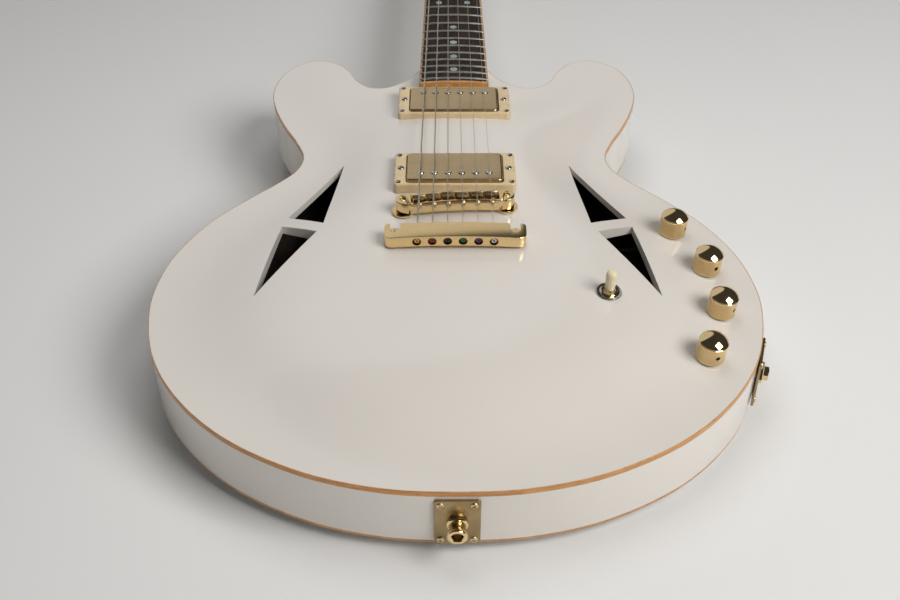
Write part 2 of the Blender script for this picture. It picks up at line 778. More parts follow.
# %% Make the rim and its bindings
SPARE = 0.03
rim = hoop(RIM_WIDE, RIM_LOW + BACK_BINDING_TALL, RIM_HIGH - BINDING_TALL)
mark(rim, 1, lambda face: not any(on_outline(vert) for vert in face.verts))
put("finished_rim", rim, LACQUER, nodes=["rim"], more=[INSIDE])


def binding(low, high, corner, soft):
    at_corner = at_height(corner)
    bm = hoop(BINDING_WIDE, low, high)
    return soften(bm, soft, 4, lambda edge: at_corner(edge) and all(on_outline(v) for v in edge.verts))


high = RIM_HIGH + LIP + SPARE
upper_binding = binding(RIM_HIGH - BINDING_TALL, high, high, 0.4)
put("finished_top_binding", upper_binding, BINDING, nodes=["top_binding"])
low = RIM_LOW - LIP - SPARE
lower_binding = binding(low, RIM_LOW + BACK_BINDING_TALL, low, 0.5)
put("finished_back_binding", lower_binding, BINDING, nodes=["back_binding"])

# %% [markdown]
# ## The neck
# Everything on the neck is drawn level, with Y along the strings and the middle of the board's face at
# zero. `NECK` tips it into place, and `HEAD` tips the head back from there. So every size can be written as
# it is on the bench.

# %% Neck sizes and places
SCALE, FRETS, SLOPE = 628.65, 22, 0.065
BOARD_THICK, BOARD_RADIUS = 6, 305
NUT_WIDTH, TWELFTH_WIDTH, NUT_THICK = 43, 52.4, 5
BOARD_LINE = RIM_HIGH + 26
LEAN = Matrix.Rotation(-math.atan(SLOPE), 4, "X")
NECK = move(0, 0, BOARD_LINE) @ LEAN
NECK_TOP = -BOARD_THICK - 0.3
NUT_END = SCALE + NUT_THICK
HEAD_THICK, HEAD_TILT = 14.5, -14
HEAD = NECK @ move(0, NUT_END, NECK_TOP) @ turn("X", HEAD_TILT)


def fret_at(number):
    return SCALE * 2 ** (-number / 12)


def half_board(y):
    return (NUT_WIDTH + (TWELFTH_WIDTH - NUT_WIDTH) * (SCALE - min(y, SCALE)) / (SCALE / 2)) / 2


def arc(x):
    return -x * x / (2 * BOARD_RADIUS)


BOARD_END = fret_at(FRETS) - 7
print("the board is", round(SCALE - BOARD_END, 1), "mm long, with its last fret at", round(fret_at(FRETS), 1))

# %% [markdown]
# The fingerboard tapers to the nut, and its face is part of a circle of 305 mm. A grid is bent to both:
# each row spans the width at its place, and the points of the top take the circle's height. The edge
# strips, the strip at the board's end and the nut are narrower strips of the same kind.


# %% A strip that follows the board's taper and its rounded face
def board_strip(inner, outer, y, top, bottom, rows, columns=12):
    bm = bmesh.new()
    bmesh.ops.create_grid(bm, x_segments=columns, y_segments=rows, size=0.5)
    for vert in bm.verts:
        along = y[0] + (vert.co.y + 0.5) * (y[1] - y[0])
        share = vert.co.x + 0.5
        left, right = inner(along), outer(along)
        vert.co = (left + share * (right - left), along, 0)
    out = bmesh.ops.extrude_face_region(bm, geom=list(bm.faces), use_keep_orig=True)["geom"]
    lifted = {item for item in out if isinstance(item, bmesh.types.BMVert)}
    for vert in bm.verts:
        vert.co.z = top + arc(vert.co.x) if vert in lifted else bottom
    return tidy(bm)


# %% Fingerboard with its edge strips and its end
EDGE_WIDE, END_STRIP = 1.7, 3.3


def inside_edges(low, high, rows):
    return placed(board_strip(lambda y: EDGE_WIDE - half_board(y), lambda y: half_board(y) - EDGE_WIDE,
                              (low, high), 0, -BOARD_THICK, rows), NECK)


put("finished_board", inside_edges(BOARD_END + END_STRIP, SCALE, 60), ROSEWOOD, nodes=["fretboard"])
edges = bmesh.new()
for side in (1, -1):
    merge(edges, board_strip(lambda y: side * (half_board(y) - EDGE_WIDE), lambda y: side * half_board(y),
                             (BOARD_END, SCALE), 0, -BOARD_THICK, 40, 1))
put("board_edges", placed(edges, NECK), PALE_EDGE)
put("board_end", inside_edges(BOARD_END, BOARD_END + END_STRIP, 1), BINDING)

# %% [markdown]
# A fret is a round wire with its lower half sunk in the board. A curve with a bevel would do, but a
# cylinder can be laid across the board and bent to its radius, and each end drawn in a little as a fretter
# files it.

# %% Frets
FRET_RADIUS, FRET_SHORT, FILED = 1.2, 0.8, 0.55


def fret_wire(y):
    bm = bmesh.new()
    width = 2 * half_board(y) - FRET_SHORT
    bmesh.ops.create_cone(bm, cap_ends=True, segments=14, radius1=FRET_RADIUS, radius2=FRET_RADIUS,
                          depth=width)
    bmesh.ops.rotate(bm, matrix=Matrix.Rotation(math.pi / 2, 3, "Y"), verts=bm.verts)
    long_edges = [e for e in bm.edges if abs(e.verts[0].co.x - e.verts[1].co.x) > 1]
    bmesh.ops.subdivide_edges(bm, edges=long_edges, cuts=9, use_grid_fill=True)
    for vert in bm.verts:
        tapered = FILED if abs(vert.co.x) > width / 2 - 0.1 else 1
        vert.co = (vert.co.x, y + vert.co.y * tapered, vert.co.z * 0.9 * tapered + arc(vert.co.x))
    return bm


frets = bmesh.new()
for number in range(1, FRETS + 1):
    merge(frets, fret_wire(fret_at(number)))
put("fret_wires", placed(frets, NECK), STEEL)

# %% [markdown]
# Pearl dots between the frets show the player the place, with a pair at the octave. A dot could be painted
# into the board's finish, but a turned disc that stands a hair proud has a real edge.

# %% Position dots
DOT_FRETS, OCTAVE, PAIR_X = (3, 5, 7, 9, 12, 15, 17, 19, 21), 12, 12.4
dots = bmesh.new()
for number in DOT_FRETS:
    y = (fret_at(number) + fret_at(number - 1)) / 2
    for x in (-PAIR_X, PAIR_X) if number == OCTAVE else (0,):
        dot = turned([(0, -1), (3.15, -1), (3.15, 0.03), (2.9, 0.07), (0, 0.07)], 32)
        merge(dots, dot, move(x, y, arc(x)))
put("position_dots", placed(dots, NECK), PEARL)

# %% [markdown]
# The shaft and its heel are one skin over D-shaped sections. A subdivided box could be pulled into shape,
# but sections keep the sizes that a neck is carved to. Each is a half circle with a flat face, and
# `bridge_loops` joins one to the next. The heel dives under the top, and the last section lies inside the
# head.

# %% Neck shaft and heel
HEEL_DEPTH, HEEL_LENGTH, BODY_END = 45, 50, 0.9645 * LENGTH - TAIL
HEEL = [(0, 1), (0.1, 0.995), (0.2, 0.96), (0.3, 0.84), (0.4, 0.66), (0.5, 0.48), (0.6, 0.31), (0.7, 0.18),
        (0.8, 0.09), (0.9, 0.03), (1, 0)]


def shaft_depth(y):
    return 14.5 + 2 * (SCALE - y) / (SCALE / 2)


SECTION_SIDES, FULLNESS = 28, 0.9


def section(bm, y, depth, top=NECK_TOP):
    reach = half_board(y)
    turns = [math.pi * k / SECTION_SIDES for k in range(SECTION_SIDES + 1)]
    verts = [bm.verts.new((reach * math.cos(t), y, top - depth * math.sin(t) ** FULLNESS)) for t in turns]
    return [bm.edges.new(pair) for pair in zip(verts, verts[1:] + verts[:1])]


def skin(bm, loops):
    for one, other in zip(loops, loops[1:]):
        bmesh.ops.bridge_loops(bm, edges=one + other)
    for loop in (loops[0], loops[-1]):
        bmesh.ops.contextual_create(bm, geom=loop)
    return tidy(bm)


# %% Join the sections
neck = bmesh.new()
places = [(BODY_END - 12, HEEL_DEPTH)]
for share, extra in HEEL:
    y = BODY_END + share * HEEL_LENGTH
    places.append((y, shaft_depth(y) * (1 - extra) + HEEL_DEPTH * extra))
places += [(y, shaft_depth(y)) for y in range(300, 620, 40)] + [(NUT_END, shaft_depth(SCALE))]
loops = [section(neck, y, depth) for y, depth in places]
loops.append(section(neck, NUT_END + 9.5, 9.8, NECK_TOP - 2.7))
placed(skin(neck, loops), NECK)
print("neck sections", len(loops))

# %% [markdown]
# ## The head
# No part of the head is in the photograph, so it has a plain generic outline with three tuners a side and
# no mark. Half of the outline is drawn and mirrored, the flat shape is raised and its edges are softened,
# and holes for the posts and a pocket for the truss rod are cut. Head and shaft make one piece, as on a
# real neck.

# %% Head outline and thickness
HEAD_HALF, HEAD_LONG = 39, 186
HEAD_SHARES = [(0.6, 0.05), (0.8, 0.12), (0.96, 0.21), (1, 0.33), (0.97, 0.6), (0.91, 0.82), (0.8, 0.93),
               (0.5, 0.985), (0, 1)]
TUNERS = [42, 82, 122]
TUNER_X = 23
head_half = [(NUT_WIDTH / 2, 0, 0)] + [(x * HEAD_HALF, y * HEAD_LONG, 0) for x, y in HEAD_SHARES]


def raised_both_sides(half, low, high):
    curve = smooth_curve(half + [(-x, y, 0) for x, y, z in half[-2::-1]], 5)
    return raised(flat([(p.x, p.y) for p in curve]), low, high)


head = soften(raised_both_sides(head_half, -HEAD_THICK, 0), 1.2)
post_holes = [placed(rod(5.2, -20, 5), move(x, y, 0)) for x in (-TUNER_X, TUNER_X) for y in TUNERS]
rod_pocket = brick((-5.5, 5.5), (-12, 26), (-6, 5))
head = carved(head, *post_holes, rod_pocket)
merge(neck, head, HEAD)
put("finished_neck", neck, LACQUER, nodes=["neck"])

# %% [markdown]
# The truss rod is reached through the pocket in the head, and a small black plate covers it. Its outline is
# drawn as half a curve and mirrored, like the head's own, and only its upper edge is softened, since the
# lower one lies on the lacquer.

# %% Truss rod cover
COVER_TOP = 2.3
cover_half = [(12, 2, 0), (12, 12, 0), (9, 24, 0), (5.6, 34, 0), (4.6, 39, 0), (0, 42, 0)]
cover = soften(raised_both_sides(cover_half, 0.3, COVER_TOP), 0.5, pick=at_height(COVER_TOP))
put("finished_rod_cover", placed(cover, HEAD), BLACK, nodes=["truss_rod_cover"])

# %% [markdown]
# Screws come in two kinds. A round-headed one has a cross cut into its dome, and a slotted one a single
# bar. A dark patch of paint could stand for the recess, but a cut one holds its own shadow, so a boolean
# cuts it.

# %% Screw heads
RECESS, SLOT_WIDE = 0.9, 0.9


def screw_head(radius, height):
    dome = [(0, -1), (radius, -1), (radius, height * 0.25)]
    dome += [(radius * math.cos(t), height * (0.25 + 0.75 * math.sin(t))) for t in (0.35, 0.7, 1.05, 1.35)]
    dome += [(0, height)]
    long, thin = radius * 0.56, radius * 0.14
    plus = [(long, thin), (thin, thin), (thin, long), (-thin, long), (-thin, thin), (-long, thin),
            (-long, -thin), (-thin, -thin), (-thin, -long), (thin, -long), (thin, -thin), (long, -thin)]
    return carved(turned(dome, 28), raised(flat(plus), height - RECESS, height + 1))


def slotted_top(radius, height):
    profile = [(0, -4), (radius, -4), (radius, height - 0.3), (radius - 0.3, height), (0, height)]
    slot = brick((-radius - 1, radius + 1), (-SLOT_WIDE / 2, SLOT_WIDE / 2), (height - RECESS, height + 1))
    return carved(turned(profile, 28), slot)


rod_cover_screws = bmesh.new()
for y in (7, 36):
    merge(rod_cover_screws, screw_head(1.8, 0.9), HEAD @ move(0, y, COVER_TOP))
put("rod_cover_screws", rod_cover_screws, GOLD)

# %% [markdown]
# The nut spaces the strings and lifts them over the first fret. It is one more strip of the board's taper,
# a little higher, with its upper edges rounded. One slot for each string is cut as wide as that string, so
# the strings lie in it.

# %% Nut with its six slots
GAUGES = [1.17, 0.91, 0.66, 0.43, 0.33, 0.28]
STEPS = [k - 2.5 for k in range(6)]
NUT_STEP, NUT_RISE = 7.2, 2.6
nut = board_strip(lambda y: -half_board(y), half_board, (SCALE + 0.3, NUT_END), NUT_RISE, -BOARD_THICK,
                  1, 14)
soften(nut, 0.7, 3, lambda edge: all(vert.co.z > 1 for vert in edge.verts))
slots = []
for step, gauge in zip(STEPS, GAUGES):
    x, half_slot = step * NUT_STEP, gauge / 2 + 0.1
    slots.append(brick((x - half_slot, x + half_slot), (SCALE - 5, NUT_END + 5), (arc(x) + 1.5, 8)))
nut = carved(nut, *slots)
placed(nut, NECK)
put("finished_nut", nut, BONE, nodes=["nut"])

# %% [markdown]
# ## Tuners
# Each string winds on a post with a waist. Below the head a toothed wheel on the post meets a worm, whose
# shaft ends in an oval button. The post is turned, and the button is a sphere drawn out along two axes and
# pinched at its ends. Post and button ride on bodies of their own, because they turn.

# %% Tuner posts and buttons
PLATE_THICK, TEETH, WHEEL_RADIUS = 1.4, 28, 4.6
PLATE_LOW = -HEAD_THICK - 0.3 - PLATE_THICK
WHEEL_Z = PLATE_LOW - 4.5
WORM_OFFSET = 6.9
POST = [(0, -22.5), (3, -22.5), (3, 8.6), (2.75, 9.3), (2.9, 10), (3.4, 10.4), (3.4, 11.6), (3, 12), (0, 12)]


def oval_button(side):
    bm = bmesh.new()
    bmesh.ops.create_uvsphere(bm, u_segments=32, v_segments=16, radius=1)
    for vert in bm.verts:
        x, y, z = vert.co
        vert.co = Vector((x * 3.5 * (1 - 0.25 * (1 - abs(y))), y * 9, z * 6.5))
    bmesh.ops.translate(bm, vec=(0, 0, 30), verts=bm.verts)
    stem = [(0, -4.5), (2, -4.5), (2, 4.5), (1.5, 4.5), (1.5, 20.5), (2.6, 21.5), (3, 23.5), (2.4, 25),
            (0, 25.5)]
    merge(bm, turned(stem, 24))
    placed(bm, turn("Y", 90 * side))
    return bm


WORDS = ["first", "second", "third", "fourth", "fifth", "sixth"]


def string_place(index):
    side = -1 if index < 3 else 1
    return side, side * TUNER_X, TUNERS[index if index < 3 else 5 - index]


# %% Make the six posts and buttons
for index, word in enumerate(WORDS):
    side, x, y = string_place(index)
    post = soften(turned(POST, 40), 0.2, 2)
    wheel = rod(WHEEL_RADIUS, WHEEL_Z - 1.5, WHEEL_Z + 1.5, TEETH)
    pressed_in(beyond(wheel, WHEEL_RADIUS - 0.1), TEETH, 0.8)
    merge(post, wheel)
    placed(post, HEAD @ move(x, y, 0))
    put(f"finished_post_{index + 1}", post, GOLD, word + "_post", [f"tuner_post_{index + 1}"])
    button = oval_button(side)
    placed(button, HEAD @ move(x, y - WORM_OFFSET, WHEEL_Z))
    put(f"finished_button_{index + 1}", button, GOLD, word + "_button", [f"tuner_button_{index + 1}"])


# %% [markdown]
# Behind the head, a plate on each side carries three gear housings. A solid block would hide the wheel but
# leave it no room, so each housing is a hollow box with an opening for its worm shaft. A sleeve with a
# hexagonal nut comes up through the head round each post. A hexagon is a turned profile with only six
# steps.

# %% Gear housings, sleeves and their plates
HOUSING_DEEP, HOUSING_SHIFT, SHAFT_ROOM = 9, 2.15, 1.9
SLEEVE_TOP, PLATE_SCREWS = 2.3, [23, 59.5, 99.5, 130]


def gear_housing():
    low = PLATE_LOW - HOUSING_DEEP
    box = soften(raised(rounded(16, 17, 2.5), low, PLATE_LOW + 0.2), 1.2, 3, at_height(low))
    worm = -WORM_OFFSET + HOUSING_SHIFT
    shaft_hole = brick((-9, 9), (worm - SHAFT_ROOM, worm + SHAFT_ROOM),
                       (WHEEL_Z - SHAFT_ROOM, WHEEL_Z + SHAFT_ROOM))
    inside = brick((-6.7, 6.7), (-7.2, 7.2), (PLATE_LOW - 7.7, PLATE_LOW - 1.3))
    return carved(box, inside, shaft_hole)


def tuner_plate():
    strip = soften(raised(rounded(20, 111, 4), PLATE_LOW, PLATE_LOW + PLATE_THICK), 0.35, 2)
    bm = merge(bmesh.new(), strip, move(0, 78.6, 0))
    for y in TUNERS:
        merge(bm, gear_housing(), move(0, y - HOUSING_SHIFT, 0))
        merge(bm, tube(3.4, 4.9, PLATE_LOW + 1, SLEEVE_TOP), move(0, y, 0))
        hexagon = [(3.4, 0.3), (6.6, 0.3), (6.6, 1.7), (5.9, SLEEVE_TOP), (3.4, SLEEVE_TOP), (3.4, 0.3)]
        merge(bm, turned(hexagon, 6), move(0, y, 0))
        merge(bm, turned([(3.4, 2.2), (5.2, 2.2), (5, 2.9), (3.4, 3), (3.4, 2.2)], 32), move(0, y, 0))
    return bm


for side, word in ((-1, "bass"), (1, "treble")):
    plate = tuner_plate()
    for y in PLATE_SCREWS:
        merge(plate, screw_head(1.9, 0.9), move(0, y, -HEAD_THICK - 1.7) @ turn("X", 180))
    placed(plate, HEAD @ move(side * TUNER_X, 0, 0))
    put(f"finished_tuner_plate_{word}", plate, GOLD, nodes=[f"tuner_plate_{word}"], crisp=30)


# %% [markdown]
# ## Pickups
# A cream ring tilts each pickup to the strings. It has a window for the cover, its top is bevelled all
# round, and its foot follows the arch. Two rounded rectangles, one inside the other, are bridged to a flat
# frame and raised. Then `on_arch` drops the lowest points onto the top, as a maker would sand the foot to
# fit.

# %% A frame of one rounded rectangle inside another
RING, WINDOW, RING_DEEP = (89, 44.5, 3, 6), (71.6, 39.6, 3.2, 6), 5


def open_frame(outer, inner, low, high):
    bm = bmesh.new()
    for size in (outer, inner):
        merge(bm, rounded(*size))
    bmesh.ops.delete(bm, geom=list(bm.faces), context="FACES_ONLY")
    bmesh.ops.bridge_loops(bm, edges=list(bm.edges))
    return raised(bm, low, high)


def on_arch(bm, tilt, lowest):
    back = tilt.inverted()
    for vert in [v for v in bm.verts if v.co.z <= lowest + CLOSE]:
        world = tilt @ vert.co
        world.z = top_at(world.x, world.y) + 0.05
        vert.co = back @ world
    return bm


def outer_top(edge):
    x, y, z = edge.verts[0].co
    return at_height(0)(edge) and max(abs(x) / (RING[0] / 2), abs(y) / (RING[1] / 2)) > 0.93


def pickup_ring(tilt):
    ring = open_frame(RING, WINDOW, -RING_DEEP, 0)
    soften(ring, 1.3, 4, outer_top)
    soften(ring, 0.4, 2, at_height(0))
    return placed(on_arch(ring, tilt, -RING_DEEP), tilt)


# %% [markdown]
# The cover is a pressed metal cap with one row of six holes for the slotted pole screws, which stand a
# little proud of it. It is made as a closed block, since nobody looks under it, and the coils show only as
# a base plate with the ends of the screws. Two height screws and four smaller ones hold the ring, each
# turned to an angle of its own, as nobody lines them up.

# %% Cover, coils and screws of a pickup
COVER, COVER_DEEP = (70, 38, 3.4, 8), 16
POLE_PITCH, POLE_ROW, POLE_RADIUS = 9.98, 9.4, 2.35


def pickup_cover(poles, proud):
    cover = soften(raised(rounded(*COVER), -COVER_DEEP, proud), 1.4, 5, at_height(proud))
    return carved(cover, *[placed(rod(POLE_RADIUS + 0.35, 0, 5, 28), move(*pole, 0)) for pole in poles])


def pickup_coils(poles):
    coils = brick((-33.5, 33.5), (-18, 18), (-18.5, -15))
    for pole in poles:
        merge(coils, rod(1.6, -22, -18, 16), move(*pole, 0))
    return coils


def pickup_screws(tilt, poles, proud):
    metal = bmesh.new()
    for k, pole in enumerate(poles):
        merge(metal, slotted_top(POLE_RADIUS, proud + 0.6), tilt @ move(*pole, 0) @ turn("Z", 35 + 47 * k))
    for side in (-1, 1):
        merge(metal, screw_head(2.4, 1.2), tilt @ move(side * 39.7, 0, 0.1) @ turn("Z", 30 * side))
        for end in (-1, 1):
            corner = move(side * 41.25, end * 18.5, -0.1) @ turn("Z", 25 + 40 * end)
            merge(metal, screw_head(2.1, 0.9), tilt @ corner)
    return metal


# %% [markdown]
# The two pickups differ in their place, their height above the rim, the side that the poles are on and how
# far the cover stands out of its ring. All of it was measured in the photograph. Both lean with the
# strings, so one matrix for each tilts all of its pieces.

# %% Put both pickups together
PICKUPS = [("neck", 146.3, 13.1, 1, 1.2), ("bridge", 41.4, 20.2, -1, 2)]
for name, y, height, pole_side, proud in PICKUPS:
    tilt = move(0, y, RIM_HIGH + height) @ LEAN
    poles = [(step * POLE_PITCH, pole_side * POLE_ROW) for step in STEPS]
    put(f"finished_{name}_ring", pickup_ring(tilt), CREAM, nodes=[f"{name}_pickup_ring"],
        crisp=50)
    cover = placed(pickup_cover(poles, proud), tilt)
    put(f"finished_{name}_cover", cover, SATIN_GOLD, nodes=[f"{name}_pickup_cover"],
        crisp=40)
    coils = placed(pickup_coils(poles), tilt)
    put(f"finished_{name}_coils", coils, NICKEL, nodes=[f"{name}_pickup_coils"])
    put(f"{name}_pickup_screws", pickup_screws(tilt, poles, proud), NICKEL)


# %% [markdown]
# ## The bridge
# The bridge carries the strings near their end. Its bar has two round lobes that sit on the thumbwheels,
# and between them it is arched, with a well for the saddles. A bevelled rectangle gives the lobes, `sliced`
# puts enough cuts across it to bend, and the middle is lifted to the arc of the strings. It is drawn level
# and straight, and `BRIDGE` turns it to the slant that good intonation needs.

# %% Bridge bar
BRIDGE_Y, BRIDGE_TOP, SLANT = -1.7, BOARD_LINE, 0.0676
BRIDGE = move(0, BRIDGE_Y, BRIDGE_TOP) @ Matrix.Rotation(math.atan(SLANT), 4, "Z")
BAR, BAR_DEEP, POST_X = (84.6, 12, 5.98, 8), 9, 37
MIDDLE, TOP_DROP, UNDER_DROP = 33, 1.8, 1.6
FALL = MIDDLE**2 / (2 * BOARD_RADIUS)


def bridge_lift(x):
    return 1 + FALL + arc(x)


def sliced(bm, places):
    for x in places:
        bmesh.ops.bisect_plane(bm, geom=bm.verts[:] + bm.edges[:] + bm.faces[:], plane_co=(x, 0, 0),
                               plane_no=(1, 0, 0))
    return bm


bridge_bar = raised(rounded(*BAR), -BAR_DEEP, 0)
sliced(bridge_bar, [-MIDDLE - 0.6, MIDDLE + 0.6] + [k * MIDDLE / 6 for k in range(-6, 7)])
for vert in bridge_bar.verts:
    if abs(vert.co.x) < MIDDLE + 0.2:
        vert.co.z += bridge_lift(vert.co.x) - (TOP_DROP if vert.co.z > -1 else UNDER_DROP)
soften(bridge_bar, 0.7, 3, angle=50)
well = brick((-31.5, 31.5), (-4.4, 4.4), (-5, 9))
post_bores = [placed(rod(2.25, -12, 6), move(side * POST_X, 0, 0)) for side in (-1, 1)]
bridge_bar = carved(bridge_bar, well, *post_bores)

# %% [markdown]
# Each saddle has a screw along the strings that moves it, with its slotted head towards the tail. Head and
# shank are turned upright, the slot is cut while the screw is still upright, and a quarter turn then lays
# it in the bar.

# %% Saddle screws, with their heads to the tail
SADDLE_PITCH, SADDLE_SCREW_Z = 10.3, -1.2
small = bmesh.new()
for step in STEPS:
    head_profile = [(0, 6), (1.9, 6), (2.1, 6.3), (2.1, 8), (1.8, 8.4), (0, 8.5)]
    screw = carved(turned(head_profile, 24), brick((-2.5, 2.5), (-0.35, 0.35), (7.6, 9)))
    merge(screw, rod(0.9, -5.9, 6.1, 16))
    lying = move(step * SADDLE_PITCH, 0, SADDLE_SCREW_Z) @ turn("X", 90) @ turn("Z", 20 + 50 * step)
    merge(small, screw, lying)


# %% [markdown]
# A bent wire lies over the screw heads, so that they don't fall out when the strings are off. A wire is
# easiest as a curve with a round bevel, which Blender turns into a mesh at once. The strings are made with
# the same `sweep`.


# %% The wire that keeps the saddle screws in
def sweep(points, radius):
    curve = bpy.data.curves.new("sweep", "CURVE")
    curve.dimensions = "3D"
    curve.bevel_depth = radius
    curve.bevel_resolution = 2
    curve.use_fill_caps = True
    line = curve.splines.new("POLY")
    line.points.add(len(points) - 1)
    for spot, point in zip(line.points, points):
        spot.co = (*point, 1)
    holder = bpy.data.objects.new("sweep", curve)
    bm = bmesh.new()
    bm.from_mesh(holder.to_mesh())
    holder.to_mesh_clear()
    bpy.data.objects.remove(holder)
    bpy.data.curves.remove(curve)
    return tidy(bm, 1e-4)


WIRE_RADIUS = 0.45
keeper = [(-38, 3, 0.6), (-35, 1, 0.9), (-33, -6.2, 1.3), (-31, -8.2, -0.6)]
keeper += [(x, -8.4, -0.6 + (bridge_lift(x) - 1) * 0.5) for x in range(-28, 29, 7)]
keeper += [(31, -8.2, -0.6), (33, -6.2, 1.3), (35, 1, 0.9), (38, 3, 0.6)]
merge(small, sweep([tuple(p) for p in smooth_curve(keeper, 4)], WIRE_RADIUS))
put("bridge_screws_and_wire", placed(small, BRIDGE), SCREW_GOLD)
put("finished_bridge", placed(bridge_bar, BRIDGE), GOLD, nodes=["bridge"])

# %% [markdown]
# Two posts stand in the top, and a knurled thumbwheel on each sets the height of the bridge. The foot of a
# post goes down into the wood, so its height is asked from the arch. Its slotted top shows in the bar's
# bore.

# %% Bridge posts with their knurled thumbwheels
WHEEL_TOP, KNURLS, THUMBWHEEL = BRIDGE_TOP - BAR_DEEP - 0.9, 80, 8
for side, word in ((-1, "bass"), (1, "treble")):
    place = BRIDGE @ Vector((side * POST_X, 0, 0))
    wheel = soften(rod(THUMBWHEEL, WHEEL_TOP - 1.4, WHEEL_TOP, KNURLS), 0.25, 2)
    pressed_in(beyond(wheel, THUMBWHEEL - 0.1), KNURLS, 0.965)
    merge(wheel, rod(2, top_at(place.x, place.y) - 12, BRIDGE_TOP - 1, 28))
    merge(wheel, slotted_top(2, 0), move(0, 0, BRIDGE_TOP - 0.2) @ turn("Z", 20 * side))
    placed(wheel, move(place.x, place.y, 0))
    put(f"finished_bridge_post_{word}", wheel, GOLD, nodes=[f"bridge_post_{word}"])


# %% [markdown]
# The strings decide where the saddles stand: the height of a saddle comes from the string over it, and its
# rest place is the same share of its travel as in the part's source. So the strings' places come first,
# with those of the tailpiece that they leave from.

# %% Strings' places on the instrument
TRAVEL, ACTION = 2.2, 4.8
REST_SHARES = [-0.5, -0.2, 0.1, -0.4, -0.1, 0.3]
STUD_Y, STUD_X = -37.1, 41.5
TAIL_LONG, TAIL_WIDE, TAIL_END_UP, TAIL_ARCH = 98, 16, 24.1, 2.1
TAIL_FRONT = STUD_Y + 6.5
TAIL_BACK = TAIL_FRONT - TAIL_WIDE


def tail_top(x):
    return RIM_HIGH + TAIL_END_UP + TAIL_ARCH * (1 - (2 * x / TAIL_LONG) ** 2)


def saddle_place(index):
    point = BRIDGE @ Vector((STEPS[index] * SADDLE_PITCH, TRAVEL * REST_SHARES[index], 0))
    point.z = BOARD_LINE - SLOPE * point.y + ACTION + arc(point.x) + GAUGES[index] / 2
    return point


print("saddle tops", [round(saddle_place(index).z, 2) for index in range(6)])

# %% [markdown]
# A saddle is a small wedge with a crest that the string lies on. It is drawn from the side, raised to its
# width and turned upright. The notch for the string and the bore for the screw are cut last, so that their
# edges stay sharp. Each saddle rides on its own body, because it slides.

# %% Saddles
SADDLE_HALF, NOTCH_ROOM, BORE_RADIUS = 4.2, 0.15, 1.4
SIDE_TO_UPRIGHT = Matrix(((0, 0, 1), (1, 0, 0), (0, 1, 0)))
for index, word in enumerate(WORDS):
    half_notch = GAUGES[index] / 2 + NOTCH_ROOM
    crest = saddle_place(index).z - half_notch - BRIDGE_TOP
    profile = [(-1.8, -4.7), (1.8, -4.7), (1.8, 1.6), (0.5, crest), (-0.5, crest), (-1.8, 1.6)]
    saddle = soften(raised(flat(profile), -SADDLE_HALF, SADDLE_HALF), 0.25, 2)
    bmesh.ops.rotate(saddle, matrix=SIDE_TO_UPRIGHT, verts=saddle.verts)
    notch = brick((-half_notch, half_notch), (-5, 5), (crest - 0.1, crest + 3))
    bore = placed(rod(BORE_RADIUS, -5, 5, 20), move(0, 0, SADDLE_SCREW_Z) @ turn("X", 90))
    saddle = carved(saddle, notch, bore)
    slide = move(STEPS[index] * SADDLE_PITCH, TRAVEL * REST_SHARES[index], 0)
    placed(saddle, BRIDGE @ slide)
    put(f"finished_saddle_{index + 1}", saddle, SADDLE_GOLD, word + "_saddle", [f"saddle_{index + 1}"])


# %% [markdown]
# ## The stop tailpiece
# A short arched bar hooks on two studs and holds the strings' ends. Its tail corners are rounder than its
# front ones, so the two pairs are bevelled apart. The raised bar is sliced and each point goes up to the
# arch. The hooks and the sockets for the ball ends are cut with booleans, the round ends of the hooks
# first.

# %% Tailpiece bar
BAR_HIGH, BAR_SLICES = 8.6, 10
TAIL_STEP, HOLE_DEEP = 10.6, 4.6
plan = bmesh.new()
bmesh.ops.create_grid(plan, x_segments=1, y_segments=1, size=0.5)
bmesh.ops.scale(plan, vec=(TAIL_LONG, TAIL_WIDE, 1), verts=plan.verts)
bmesh.ops.bevel(plan, geom=[v for v in plan.verts if v.co.y < 0], offset=5.5, segments=8, profile=0.5,
                affect="VERTICES", material=-1)
bmesh.ops.bevel(plan, geom=[v for v in plan.verts if v.co.y > TAIL_WIDE / 2 - 0.1], offset=2, segments=4,
                profile=0.5, affect="VERTICES", material=-1)
tail_bar = sliced(raised(plan, -BAR_HIGH, 0), [k * 4.7 for k in range(-BAR_SLICES, BAR_SLICES + 1)])
placed(tail_bar, move(0, TAIL_BACK + TAIL_WIDE / 2, 0))
for vert in tail_bar.verts:
    vert.co.z += tail_top(vert.co.x)
soften(tail_bar, 1.0, 3, angle=60)
print("tailpiece", TAIL_LONG, "x", TAIL_WIDE, "mm, from", round(TAIL_BACK, 1), "to", round(TAIL_FRONT, 1))

# %% Hooks and sockets of the tailpiece
HOOK = 3.5
round_ends = [placed(rod(HOOK, 60, 100, 40), move(side * STUD_X, STUD_Y, 0)) for side in (-1, 1)]
hooks = []
for middle in (-STUD_X, STUD_X):
    across = (middle - HOOK + 0.001, middle + HOOK - 0.001)
    hooks.append(brick(across, (STUD_Y, TAIL_FRONT + 5), (60, 100)))
tail_bar = carved(carved(tail_bar, *round_ends), *hooks)
sockets = []
for step in STEPS:
    x = step * TAIL_STEP
    socket = turned([(0, TAIL_BACK - 3), (3.1, TAIL_BACK - 3), (3.1, TAIL_BACK + 5), (1.3, TAIL_BACK + 5),
                     (1.3, TAIL_FRONT + 3), (0, TAIL_FRONT + 3)], 32)
    sockets.append(placed(socket, move(x, 0, tail_top(x) - HOLE_DEEP) @ turn("X", -90)))
tail_bar = carved(tail_bar, *sockets)
put("finished_tailpiece", tail_bar, BAR_GOLD, nodes=["tailpiece"], crisp=28)

